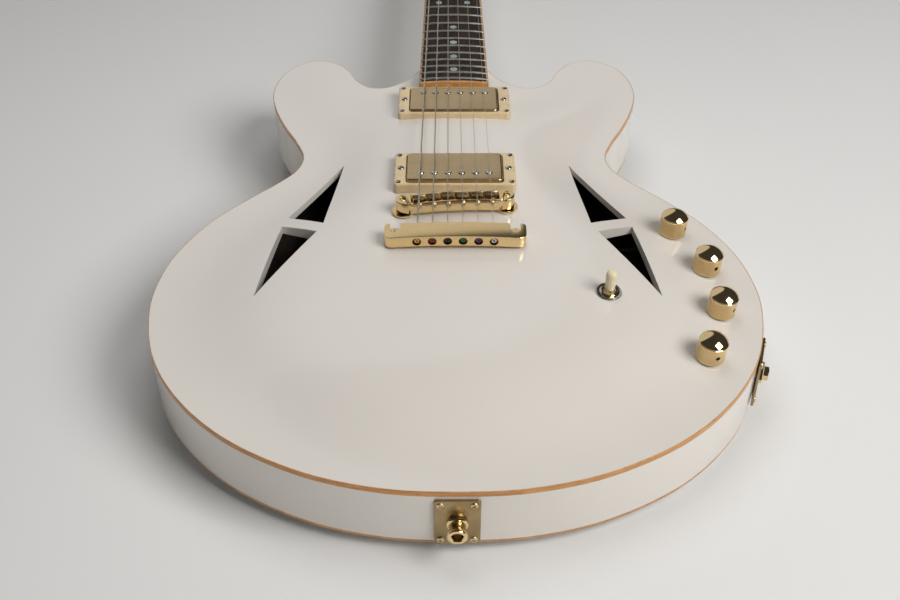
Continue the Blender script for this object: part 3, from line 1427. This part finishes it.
# %% [markdown]
# A stud is a large slotted screw with a groove that the bar hooks into. It stands in a bush, a flanged
# sleeve that is pressed into the top. The photograph shows the two as one shape from above, so one turned
# profile makes stud and bush, and the slotted head is added on top.

# %% Tailpiece studs
STUD_NECK = 3.1
for side, word in ((-1, "bass"), (1, "treble")):
    x = side * STUD_X
    high = tail_top(x) - 1.0
    flange = tail_top(TAIL_LONG / 2) - 8.9
    bush = top_at(x, STUD_Y)
    foot = bush - 14
    profile = [(0, foot), (4, foot), (4, bush + 0.05), (6.2, bush + 0.05), (6.2, bush + 0.7), (5.8, bush + 1),
               (4, bush + 1), (4, flange - 0.8), (5.4, flange - 0.8), (5.4, flange), (STUD_NECK, flange),
               (STUD_NECK, high - 2), (0, high - 2)]
    stud = turned(profile, 40)
    merge(stud, slotted_top(STUD_NECK, 0), move(0, 0, high) @ turn("Z", 90 + 8 * side))
    placed(stud, move(x, STUD_Y, 0))
    put(f"finished_stud_{word}", stud, GOLD, nodes=[f"tailpiece_stud_{word}"])


# %% [markdown]
# ## Strings
# A string runs from its ball end over the saddle and the nut, winds twice round its post and ends in the
# post's hole. The path is the one in the part's source, with more points in the winding. A string could be
# one tube, but when a saddle slides, the bend over it goes along while both ends stay. So each string is
# two lengths that meet at the saddle, and each blends between the saddle's body and the instrument.

# %% The path of one string
TURNS, TURN_STEPS, POST_WAIST, WINDING_TOP = 2, 20, 3.3, 9


def winding(index):
    side, x, y = string_place(index)
    way = 1 if index < 3 else -1
    radius = POST_WAIST + GAUGES[index] / 2
    nut_point = HEAD.inverted() @ (NECK @ Vector((STEPS[index] * NUT_STEP, NUT_END, 0)))
    across, along = nut_point.x - x, nut_point.y - y
    start = math.atan2(along, across) + way * math.acos(radius / math.hypot(across, along))
    pitch = GAUGES[index] + 0.45
    points = []
    for k in range(TURNS * TURN_STEPS + 1):
        angle = start + way * math.tau * k / TURN_STEPS
        level = WINDING_TOP - pitch * k / TURN_STEPS
        points.append(Vector((x + radius * math.cos(angle), y + radius * math.sin(angle), level)))
    return [HEAD @ p for p in points + [Vector((x, y, points[-1].z))]]


# %% Make the six strings and their ball ends
BALL_Y = TAIL_BACK + 3
BALL = [(0.7, -1.9), (1.7, -1.9), (1.95, -1.5), (1.95, 1.5), (1.7, 1.9), (0.7, 1.9), (0.7, -1.9)]
for index, gauge in enumerate(GAUGES):
    x = STEPS[index] * TAIL_STEP
    level = tail_top(x) - HOLE_DEEP
    nut_x = STEPS[index] * NUT_STEP
    over_nut = arc(nut_x) + 1.6 + gauge / 2
    leave_tail, bend = Vector((x, TAIL_FRONT, level)), saddle_place(index)
    at_nut, past_nut = [NECK @ Vector((nut_x, y, over_nut)) for y in (SCALE, NUT_END)]
    finish, metal = (WOUND, "nickel") if index < 3 else (PLAIN, "steel")
    behind = sweep([Vector((x, BALL_Y, level)), leave_tail, bend], gauge / 2)
    behind = put(f"string_tail_{index + 1}", behind, finish, None)
    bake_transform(behind)
    ahead = sweep([bend, at_nut, past_nut] + winding(index), gauge / 2)
    ahead = put(f"finished_string_{index + 1}", ahead, finish, None, [f"string_{index + 1}"])
    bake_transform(ahead)
    ball = placed(turned(BALL, 28), move(x, BALL_Y, level) @ turn("Y", 90) @ turn("X", 90))
    put(f"ball_end_{index + 1}", ball, BALL_FINISHES[index])
    print("string", index + 1, round((bend - leave_tail).length + (at_nut - bend).length, 1), "mm to the nut")


# %% [markdown]
# ## Controls
# Knobs and the switch stand square to the top where they are. They could be turned by eye, but the arch has
# a formula: its slope at a place gives the direction straight out of the wood, and a rotation from Z to
# that direction, with the place, is the matrix that stands a thing there.


# %% The frame of something that stands on the arched top
def standing(x_share, y_share, lean):
    x, y = x_share * HALF_WIDTH, y_share * LENGTH - TAIL
    slope_x = (top_at(x + 1, y) - top_at(x - 1, y)) / 2
    slope_y = (top_at(x, y + 1) - top_at(x, y - 1)) / 2
    normal = Vector((-slope_x * lean, -slope_y * lean, 1)).normalized()
    return move(x, y, top_at(x, y)) @ Vector((0, 0, 1)).rotation_difference(normal).to_matrix().to_4x4()


# %% [markdown]
# A knob has a domed top and a grip cut with fine diamonds. A displacement could draw the diamonds, but the
# dark cuts between them are real facets. So the barrel is turned with many short steps, every second
# corner, as on a chess board, is pressed in, and the pressed corners are connected. A grub screw's hole is
# in its side.

# %% One knob
ROWS, AROUND, KNURL_LOW, KNURL_HIGH = 16, 88, 1.7, 14.5
KNURL_STEP, GRIP_RADIUS = (KNURL_HIGH - KNURL_LOW) / ROWS, 9.5
DOME_RADIUS, DOME_FOOT, KNOB_TOP, DOME_STEPS = 12.5, 9.3, 19.3, 18
HOLE_Z, HOLE_RADIUS = 7.6, 1.5


def knob_profile():
    rows = [(GRIP_RADIUS, KNURL_LOW + (KNURL_HIGH - KNURL_LOW) * k / ROWS) for k in range(ROWS + 1)]
    widest = math.asin(DOME_FOOT / DOME_RADIUS)
    turns = [widest * (1 - k / DOME_STEPS) for k in range(DOME_STEPS + 1)]
    dome = [(DOME_RADIUS * math.sin(t), KNOB_TOP - DOME_RADIUS * (1 - math.cos(t))) for t in turns]
    foot = [(0, 5), (7.4, 5), (7.4, 1.1), (9.2, 1.1), (GRIP_RADIUS, 1.4)]
    return foot + rows + [(9.15, 14.7), (9.15, 15)] + dome


def row_of(vert):
    return (vert.co.z - KNURL_LOW) / KNURL_STEP


def knurled(knob):
    grip = [vert for vert in beyond(knob, GRIP_RADIUS - 0.1) if 0.5 < row_of(vert) < ROWS - 0.5]
    pressed = pressed_in(grip, AROUND, 0.965, lambda vert: round(row_of(vert)))
    bmesh.ops.connect_verts(knob, verts=pressed)
    return knob


print("a knob has", ROWS * AROUND // 2, "diamonds,", round(KNURL_STEP, 2), "mm tall")

# %% [markdown]
# The hole shows dark from its wall on, while the grip is a little duller than the dome. Both are marked by
# where a face is: the grip by its height and its distance from the axis, the hole's wall by its distance
# from the hole's own axis. The shaft below the knob turns with it and is added last.


# %% Bore the grub screw's hole and mark the finishes
def bored(knob, toward):
    aim = move(0, 0, HOLE_Z) @ toward
    knob = carved(knob, placed(rod(HOLE_RADIUS, 6, 12, 24), aim @ turn("Y", 90)))
    out = toward @ Vector((1, 0, 0))
    middles = {face: face.calc_center_median() for face in knob.faces}

    def off_axis(face):
        return (middles[face] - Vector((0, 0, HOLE_Z)) - out * middles[face].dot(out)).length

    mark(knob, 1, lambda face: KNURL_LOW < middles[face].z < KNURL_HIGH and middles[face].xy.length > 8.9)
    mark(knob, 2, lambda face: 5.9 < middles[face].xy.dot(out.xy) < 9.2
         and off_axis(face) < HOLE_RADIUS + 0.05)
    return knob


# %% Make the four knobs
KNOBS = [(0.7551, 0.4977, 58), (0.842, 0.4109, 30), (0.8556, 0.3197, 48), (0.7878, 0.2297, 17)]
for index, (x_share, y_share, facing) in enumerate(KNOBS):
    knob = bored(knurled(turned(knob_profile(), AROUND)), turn("Z", facing - 90))
    merge(knob, rod(3, -10.5, 5.2, 24))
    placed(knob, standing(x_share, y_share, 0.6))
    put(f"finished_knob_{index + 1}", knob, GOLD, WORDS[index] + "_knob", [f"knob_{index + 1}"],
        crisp=12, more=[GRIP_GOLD, DARK])


# %% [markdown]
# A three-way switch chooses the pickups. A dished nut with a serrated edge holds it to the top, and the
# bushing that the lever comes out of stands in its middle. Both are turned from closed profiles. The block
# of the switch hangs under the top, where nobody sees it, so it stays a plain brick.

# %% Nut and bushing of the toggle switch
SERRATIONS = 72
switch_stand = standing(0.4951, 0.3356, 1)
ring = turned([(5.6, 0.3), (8.4, 0.3), (8.7, 0.6), (8.6, 1), (8.2, 1.3), (6.6, 0.9), (5.6, 1.2), (5.6, 0.3)],
              SERRATIONS)
pressed_in(beyond(ring, 8.3), SERRATIONS, 0.975)
merge(ring, brick((-13, 13), (-7.5, 7.5), (-30.5, -8.5)))
put("finished_switch_nut", placed(ring, switch_stand), NICKEL, nodes=["switch_body"])
bush = turned([(4.1, -9), (5.8, -9), (5.8, 1.8), (5.5, 2.1), (4.4, 2.1), (4.1, 1.8), (4.1, -9)], 40)
put("switch_bushing", placed(bush, switch_stand), GOLD)

# %% [markdown]
# The lever has a ball where it pivots, 4 mm under the top, and carries a cream tip that swells to a rounded
# end. The two are separate pieces because their finishes differ, and both ride on the lever's body, which
# is thrown to either side.

# %% Lever and tip of the toggle switch
LEVER_RADIUS, BALL_RADIUS, TIP_FOOT = 2.1, 3.6, 7.6
lever_stand = switch_stand @ move(0, 0, -4)
ball_rise = math.sqrt(BALL_RADIUS**2 - LEVER_RADIUS**2)
lever = turned([(0, -6), (LEVER_RADIUS, -6), (LEVER_RADIUS, -ball_rise), (3, -2), (BALL_RADIUS, 0), (3, 2),
                (LEVER_RADIUS, ball_rise), (LEVER_RADIUS, TIP_FOOT), (0, TIP_FOOT)], 32)
put("switch_lever_rod", placed(lever, lever_stand), GOLD, "lever")
tip = turned([(0, TIP_FOOT), (3.2, TIP_FOOT), (3.35, 8), (3.5, 10), (3.7, 13), (3.9, 16), (4, 18.3),
              (3.9, 19.6), (3.5, 20.8), (2.7, 21.7), (1.6, 22.2), (0, 22.35)], 36)
put("finished_switch_tip", placed(tip, lever_stand), TIP, "lever", ["switch_lever"], crisp=50)

# %% [markdown]
# ## Plates on the rim
# The strap pin at the tail and the output jack each have a plate of aged brass with four round-headed
# screws. A plate is drawn facing up, where its sizes are easy to read, and a matrix then stands it against
# the rim. Plate and screws are two pieces, since the screws are brighter.

# %% Rim plates
PLATE, PLATE_DEEP = (27.5, 39, 1.8), 1.6
PLATE_Z = RIM_LOW + 20


def rim_plate(hole):
    bm = soften(raised(rounded(*PLATE), 0, PLATE_DEEP), 0.35, 2, at_height(PLATE_DEEP))
    return carved(bm, rod(hole, -1, 3, 40))


def rim_screws():
    bm = bmesh.new()
    for x in (-10, 10):
        for y in (-15.5, 15.5):
            merge(bm, screw_head(2.35, 1.2), move(x, y, 1.5) @ turn("Z", 20 + x + 2 * y))
    return bm


def put_plate(word, plate, stand):
    put(f"finished_{word}_plate", placed(plate, stand), BRASS, nodes=[f"{word}_plate"])
    put(f"{word}_plate_screws", placed(rim_screws(), stand), SCREW_GOLD)


# %% [markdown]
# At the tail the rim runs straight across, so the plate's up becomes the guitar's tailward direction and
# its Y becomes up. The pin is one turned profile: a wide foot, a waist for the strap and a head with a
# rolled edge.

# %% Tail plate and strap pin
TAIL_STAND = Matrix(((1, 0, 0, 0), (0, 0, -1, -TAIL - 0.3), (0, 1, 0, PLATE_Z), (0, 0, 0, 1)))
put_plate("tail", rim_plate(5.2), TAIL_STAND)
pin_profile = [(3.45, -14), (4.8, -14), (4.8, 1.9), (6.2, 1.9), (6.45, 2.2), (6.45, 3.4), (6, 3.9),
               (5.2, 4.2), (4.9, 5), (4.9, 8.6), (5.2, 9.3), (5.9, 9.8), (6.1, 10.4), (6.1, 12),
               (5.8, 12.5), (5.2, 12.6), (4, 12.6), (3.45, 12.1), (3.45, -14)]
pin = placed(turned(pin_profile, 56), TAIL_STAND)
put("finished_tail_pin", pin, GOLD, nodes=["strap_button_tail"], crisp=40)

# %% [markdown]
# The jack's plate stands on the curved rim near the tail. The two outline points on either side of its
# place give the direction of the wall there, and from that come the directions outwards and sideways. The
# barrel behind the plate belongs to the plate's piece, and the threaded collar with its hexagonal nut is
# one of its own.

# %% The output jack on the treble rim
JACK_Y = -127


def rim_stand(y, z):
    treble = OUTLINE[len(OUTLINE) // 2:]
    (ax, ay), (bx, by) = next((a, b) for a, b in zip(treble, treble[1:]) if a[1] < y <= b[1])
    share = (y - ay) / (by - ay)
    along = Vector((bx - ax, by - ay, 0)).normalized()
    outward = Vector((along.y, -along.x, 0))
    sideways = Vector((0, 0, 1)).cross(outward)
    turned_to = Matrix((sideways, Vector((0, 0, 1)), outward)).transposed().to_4x4()
    return move(ax + share * (bx - ax), y, z) @ turned_to


JACK_STAND = rim_stand(JACK_Y, PLATE_Z) @ move(0, 0, 0.3)
put_plate("jack", merge(rim_plate(4.8), tube(3.6, 7, -26, -0.6)), JACK_STAND)
jack = turned([(3.6, -0.5), (4.7, -0.5), (4.7, 7.2), (4.3, 7.6), (3.6, 7.6), (3.6, -0.5)], 40)
merge(jack, turned([(4.6, 1.6), (7.4, 1.6), (7.4, 3.7), (6.8, 4.2), (4.6, 4.2), (4.6, 1.6)], 6))
put("jack_nut", placed(jack, JACK_STAND), GOLD)

# %% [markdown]
# The strap's other end hooks on a second button, which sits on the back behind the heel. The photograph
# doesn't show it, so it has a common turned shape. Its profile is drawn with the foot at zero and the head
# below, and its place on the back comes from the arch.

# %% Strap button behind the heel
BUTTON_Y = 196
button = turned([(0, 9), (1.9, 9), (1.9, -0.3), (6.4, -0.3), (6.4, -1.6), (5, -2.2), (3.6, -3), (3.4, -4.5),
                 (3.6, -7), (4.6, -8.2), (5.6, -8.6), (5.6, -10.4), (5.2, -11), (0, -11)], 40)
placed(button, move(0, BUTTON_Y, float(back_height(0, BUTTON_Y)[0])))
put("finished_heel_button", button, GOLD, nodes=["strap_button_heel"], crisp=40)

# %% [markdown]
# ## Inside
# The centre block, the truss rod and the wiring are hidden in the closed body and the neck. New meshes for
# them would never be seen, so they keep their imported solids, and only their finishes change.

# %% Finishes for the solids that stay
KEPT = {"centre_block": SPRUCE, "truss_rod": STEEL, "wiring_harness": BLACK}
for name, finish in KEPT.items():
    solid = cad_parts[name]
    for slot in solid.material_slots:
        slot.material = finish
print("kept solids", ", ".join(KEPT))

# %% [markdown]
# ## Floor, light and camera
# The guitar lies on its back. Its head reaches lower than the flat of the back, so the floor is tipped by
# two degrees to carry both. The floor is one large grid face. Far from the guitar it glows evenly for the
# camera alone, so that it runs into the pale backdrop without lighting the guitar.

# %% Floor
BACKDROP = (0.6, 0.59, 0.57)
NEAR, FAR = 1.0, 3.5


def floor_finish():
    finish = Finish("floor", Roughness=0.85, Emission_Color=(*BACKDROP, 1))
    smudge = finish.group(SMUDGE, Cloud=2, Tooth=600)
    finish.wire(finish.blend(smudge.outputs["Cloud"], (0.8, 0.79, 0.77), (0.82, 0.81, 0.79)), "Base Color")
    place = add(finish.tree, "TexCoord")
    distance = add(finish.tree, "VectorMath")
    distance.operation = "LENGTH"
    finish.tree.links.new(place.outputs["Object"], distance.inputs[0])
    far = add(finish.tree, "MapRange", From_Min=NEAR, From_Max=FAR)
    far.interpolation_type = "SMOOTHERSTEP"
    finish.tree.links.new(distance.outputs["Value"], far.inputs["Value"])
    seen = add(finish.tree, "LightPath")
    both = add(finish.tree, "Math")
    both.operation = "MULTIPLY"
    finish.tree.links.new(far.outputs["Result"], both.inputs[0])
    finish.tree.links.new(seen.outputs["Is Camera Ray"], both.inputs[1])
    finish.wire(both.outputs[0], "Emission Strength")
    return finish.material


FLOOR_HALF, LOWEST_Y, HEAD_DROP, HEAD_AWAY = 9000, -170, 35.5, 979
bm = bmesh.new()
bmesh.ops.create_grid(bm, x_segments=1, y_segments=1, size=1)
bmesh.ops.scale(bm, vec=(FLOOR_HALF, FLOOR_HALF, 1), verts=bm.verts)
tilt = Matrix.Rotation(-math.atan2(HEAD_DROP, HEAD_AWAY), 4, "X")
placed(bm, move(0, LOWEST_Y, 0) @ tilt @ move(0, 0, -0.3))
bmesh.ops.scale(bm, vec=(MM, MM, MM), verts=bm.verts)
mesh = bpy.data.meshes.new("floor")
bm.to_mesh(mesh)
bm.free()
mesh.materials.append(floor_finish())
floor = bpy.data.objects.new("floor", mesh)
bpy.context.scene.collection.objects.link(floor)
print("floor tipped by", round(math.degrees(math.atan2(HEAD_DROP, HEAD_AWAY)), 2), "degrees")

# %% [markdown]
# Gold needs something to reflect. An even sky would make it flat, so the world is nearly dark, with one soft
# bright patch low beyond the head. That is what lights the guitar and shows in the gold. For the camera,
# Light Path swaps in the plain pale backdrop.

# %% World
PATCH = Vector((-0.377, 0.847, 0.375)).normalized()
world = bpy.data.worlds.new("studio")
bpy.context.scene.world = world
world.use_nodes = True
tree = world.node_tree
direction = add(tree, "TexCoord")
toward = add(tree, "VectorMath")
toward.operation = "DOT_PRODUCT"
toward.inputs[1].default_value = PATCH
glow = add(tree, "MapRange", From_Min=0.8, From_Max=0.86, To_Min=0.045, To_Max=0.58)
glow.interpolation_type = "SMOOTHERSTEP"
tree.links.new(direction.outputs["Generated"], toward.inputs[0])
tree.links.new(toward.outputs["Value"], glow.inputs["Value"])
around = fill(tree.nodes["Background"], {"Color": (1, 1, 1, 1)})
tree.links.new(glow.outputs["Result"], around.inputs["Strength"])
pale = add(tree, "Background", Color=(*BACKDROP, 1))
seen = add(tree, "LightPath")
choose = add(tree, "MixShader")
tree.links.new(seen.outputs["Is Camera Ray"], choose.inputs[0])
tree.links.new(around.outputs[0], choose.inputs[1])
tree.links.new(pale.outputs[0], choose.inputs[2])
tree.links.new(choose.outputs[0], tree.nodes["World Output"].inputs["Surface"])

# %% [markdown]
# The key is a large soft lamp from the treble side and the tail, and the gold mirrors it. A weak one straight
# above lightens the upper part of the body, and a wide one behind the camera lightens the rim. Those two are
# left out of reflections, and the camera sees none of the three.


# %% Lamps
def lamp(name, place, aim, size, power, mirrored=True):
    data = bpy.data.lights.new(name, "AREA")
    data.shape = "RECTANGLE"
    data.size, data.size_y = size
    data.energy = power
    holder = bpy.data.objects.new(name, data)
    holder.location = place
    holder.rotation_euler = (Vector(aim) - Vector(place)).to_track_quat("-Z", "Y").to_euler()
    holder.visible_glossy = mirrored
    holder.visible_camera = False
    bpy.context.scene.collection.objects.link(holder)
    print("lamp", name, power, "W")


lamp("key", (1.22, -0.8, 1.55), (0, 0.05, 0.05), (1.1, 1.1), 33.2)
lamp("fill", (-0.05, 0.17, 0.95), (-0.05, 0.17, 0), (0.5, 0.5), 2.1, mirrored=False)
lamp("front", (0.3, -2.6, 1.0), (0, -0.2, 0.03), (1, 1), 7.2, mirrored=False)

# %% [markdown]
# The camera stands where the photographer's did. It could be moved by eye until the outlines agree, but
# some sizes are known, such as the frets and the pole screws, and they gave its place, its focal length and
# its three axes. Those axes are the columns of its matrix.

# %% Camera, at the place that the photograph was taken from
camera_data = bpy.data.cameras.new("camera")
camera_data.lens = 50.207
camera_data.sensor_width = 36
camera_data.clip_end = 50
CAMERA_PLACE = (-0.0057, -0.7175, 0.61536)
camera = bpy.data.objects.new("camera", camera_data)
right = Vector((0.999996, -0.002743, 0.00024))
up = Vector((0.001633, 0.660858, 0.750509))
forward = Vector((0.0022176, 0.750506, -0.66086))
camera.matrix_world = move(*CAMERA_PLACE) @ Matrix((right, up, -forward)).transposed().to_4x4()
bpy.context.scene.collection.objects.link(camera)
bpy.context.scene.camera = camera
bpy.context.scene.view_settings.view_transform = "Standard"
print("camera at", CAMERA_PLACE, "with a lens of", camera_data.lens, "mm")
